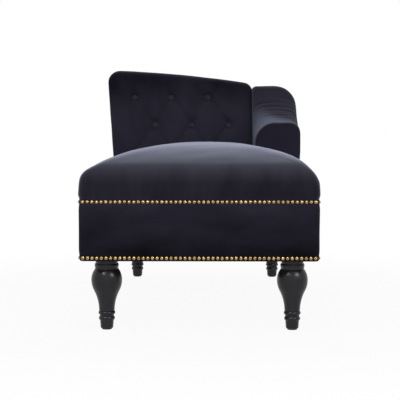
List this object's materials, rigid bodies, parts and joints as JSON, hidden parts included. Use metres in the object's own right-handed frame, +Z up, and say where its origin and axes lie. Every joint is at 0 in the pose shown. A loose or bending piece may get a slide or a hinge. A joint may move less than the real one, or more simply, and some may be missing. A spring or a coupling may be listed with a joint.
{
  "type": "chaise longue",
  "caption": "Velvet chaise longue with a crowned long seat, a raked button-tufted back, one swept-up arm, a nail-trimmed box base and turned black legs.",
  "frame": {"origin": "floor point under the middle of the whole part", "axes": "+Z up, +Y along the length from the foot end to the raised head end, +X to the side with the arm as seen from the foot end"},
  "size_m": [0.722, 1.424, 0.8106],
  "materials": {
    "velvet": "matte",
    "black_lacquer": "satin",
    "antique_brass": "polished",
    "steel": "satin",
    "foam": "matte",
    "black_lining": "matte",
    "felt": "matte",
    "liner_card": "matte",
    "twine": "matte",
    "glide_plastic": "matte",
    "plywood": "matte",
    "hardwood": "matte"
  },
  "bodies": {
    "root": {"arm_cover": "velvet", "arm_facing": "velvet", "arm_foam": "foam", "arm_inner_board": "plywood", "arm_outer_board": "plywood", "arm_post": "hardwood", "arm_rear_panel": "plywood", "arm_top_board": "plywood", "back_board": "plywood", "back_bottom_plank": "hardwood", "back_cover": "velvet", "back_dowels": "hardwood", "back_foam": "foam", "back_left_panel": "plywood", "back_liner": "liner_card", "back_middle_plank": "hardwood", "back_right_panel": "plywood", "back_top_plank": "hardwood", "clip_nails": "steel", "corner_screws": "steel", "dust_cover": "black_lining", "foot_apron": "velvet", "foot_brace": "hardwood", "foot_glides": "glide_plastic", "foot_rail": "hardwood", "frame_dowels": "hardwood", "front_left_corner_block": "hardwood", "front_left_leg": "black_lacquer", "front_right_corner_block": "hardwood", "front_right_leg": "black_lacquer", "head_apron": "velvet", "head_brace": "hardwood", "head_rail": "hardwood", "insulator_pad": "felt", "left_apron": "velvet", "left_rail": "hardwood", "leg_bolts": "steel", "leg_inserts": "steel", "lower_nails": "antique_brass", "panel_screws": "steel", "rear_left_corner_block": "hardwood", "rear_left_leg": "black_lacquer", "rear_right_corner_block": "hardwood", "rear_right_leg": "black_lacquer", "right_apron": "velvet", "right_rail": "hardwood", "seat_cover": "velvet", "seat_foam": "foam", "seat_springs": "steel", "sill_plate": "plywood", "sill_screws": "steel", "spring_clips": "steel", "tuft_buttons": "velvet", "tuft_twines": "twine", "upper_nails": "antique_brass"}
  },
  "joints": []
}
